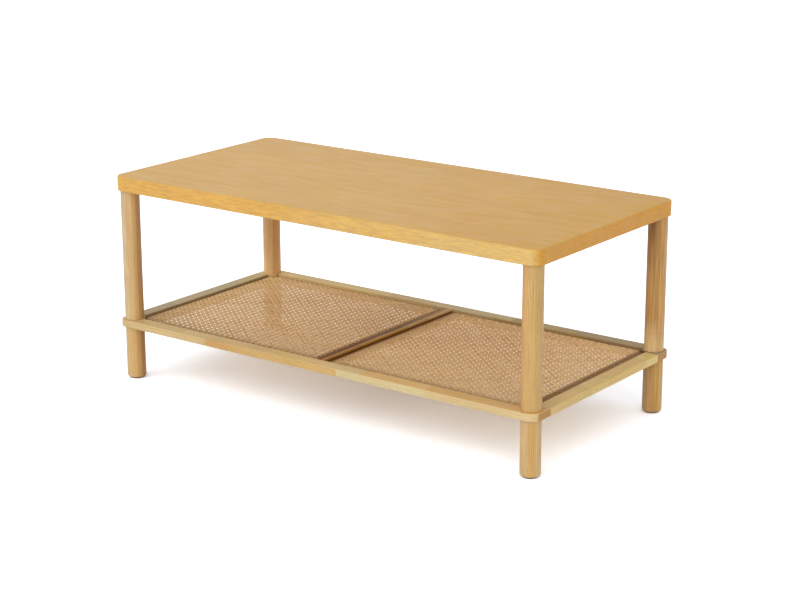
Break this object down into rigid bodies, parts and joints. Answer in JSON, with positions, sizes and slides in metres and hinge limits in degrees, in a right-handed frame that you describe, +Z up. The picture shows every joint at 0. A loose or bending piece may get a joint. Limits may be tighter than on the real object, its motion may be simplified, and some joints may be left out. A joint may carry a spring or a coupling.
{
  "type": "coffee table",
  "caption": "Low rectangular wooden table on round legs, with a thin wooden shelf frame below that holds woven cane panels.",
  "frame": {"origin": "on the floor below the middle of the top", "axes": "+X along the table's length, +Y from the front to the rear, +Z up"},
  "size_m": [1, 0.48, 0.42],
  "materials": {
    "top_wood": "satin clear varnish, honey tone, fine grain along the length",
    "leg_wood": "satin clear varnish, pale tan, upright grain",
    "frame_wood": "satin clear varnish, pale, pieced wood",
    "cane": "natural matt woven cane",
    "reed": "natural matt reed",
    "dowel_wood": "plain hardwood",
    "zinc_steel": "bright zinc plating",
    "glide_plastic": "dark brown matt plastic"
  },
  "bodies": {
    "root": {"table_top": "top_wood", "front_left_upper_leg": "leg_wood", "front_right_upper_leg": "leg_wood", "rear_left_upper_leg": "leg_wood", "rear_right_upper_leg": "leg_wood", "front_left_lower_leg": "leg_wood", "front_right_lower_leg": "leg_wood", "rear_left_lower_leg": "leg_wood", "rear_right_lower_leg": "leg_wood", "front_rail": "frame_wood", "rear_rail": "frame_wood", "left_rail": "frame_wood", "right_rail": "frame_wood", "centre_rail": "frame_wood", "left_cane_panel": "cane", "right_cane_panel": "cane", "left_cane_splines": "reed", "right_cane_splines": "reed", "rail_dowels": "dowel_wood", "top_inserts": "zinc_steel", "leg_inserts": "zinc_steel", "top_bolts": "zinc_steel", "shelf_studs": "zinc_steel", "foot_glides": "glide_plastic"}
  },
  "joints": []
}
